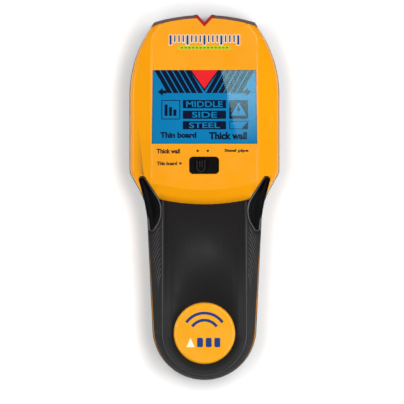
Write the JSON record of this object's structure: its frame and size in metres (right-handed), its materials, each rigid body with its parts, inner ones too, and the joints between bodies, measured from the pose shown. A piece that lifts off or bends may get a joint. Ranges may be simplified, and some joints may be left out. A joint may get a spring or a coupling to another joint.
{
  "type": "stud finder",
  "caption": "Hand-held wall scanner with a wide head, notched nose, blue display, slide mode switch and soft-grip handle over a battery bay.",
  "frame": {"origin": "bottom centre of the bounding box: the middle of the wall face, in the plane of the glide pads", "axes": "+Y from the handle to the notched nose, +Z out of the wall face towards the display, +X to the right seen from the front"},
  "size_m": [0.08, 0.1946, 0.0348],
  "materials": {
    "yellow_shell": "satin injection-moulded",
    "black_shell": "fine texture",
    "soft_grip": "matt soft-touch",
    "maroon_strip": "gloss",
    "red_lens": "clear red",
    "window_clear": "clear",
    "display_blue": "gloss",
    "milky_plastic": "diffusing",
    "board_green": "solder mask",
    "chip_black": "moulded",
    "steel": "plain",
    "tinned": "bright",
    "copper": "bare copper",
    "badge_yellow": "gloss",
    "battery_case": "satin",
    "lead_sleeve": "sleeve",
    "foam_grey": "open foam",
    "felt": "felt",
    "label_grey": "blank",
    "led_red": "clear red"
  },
  "bodies": {
    "housing": {"front_housing": "yellow_shell", "rear_housing": "black_shell", "grip_overmould": "soft_grip", "finger_pad": "soft_grip", "nose_strips": "maroon_strip", "nose_lens": "red_lens", "pointer_led": "led_red", "display_window": "window_clear", "lcd_panel": "display_blue", "backlight_panel": "milky_plastic", "backlight_leds": "milky_plastic", "lcd_frame": "chip_black", "lcd_pins": "tinned", "main_board": "board_green", "board_chips": "chip_black", "board_screws": "steel", "slide_switch": "steel", "power_switch": "chip_black", "buzzer": "chip_black", "sensor_board": "board_green", "sensor_plates": "copper", "metal_coil": "copper", "board_link": "chip_black", "sensor_screws": "steel", "battery": "battery_case", "battery_terminals": "tinned", "battery_snap": "chip_black", "battery_leads": "lead_sleeve", "housing_screws": "steel", "glide_pads": "felt", "rear_label": "label_grey", "badge_disc": "badge_yellow"},
    "knob": {"mode_knob": "black_shell", "switch_actuator": "chip_black"},
    "button": {"power_button": "soft_grip", "switch_plunger": "chip_black"},
    "door": {"battery_door": "black_shell", "door_foam": "foam_grey"}
  },
  "joints": [
    {"name": "mode_slide", "type": "slide", "parent": "housing", "child": "knob", "axis": [1, 0, 0], "range_m": [-0.0033, 0.0066]},
    {"name": "power_press", "type": "slide", "parent": "housing", "child": "button", "axis": [0, 0, -1], "range_m": [0, 0.0006], "stiffness_N_per_m": 2000, "springref_m": -0.0006},
    {"name": "battery_door_hinge", "type": "hinge", "parent": "housing", "child": "door", "pos_m": [0, -0.0285, 0.0023], "axis": [1, 0, 0], "range_deg": [0, 80]}
  ]
}
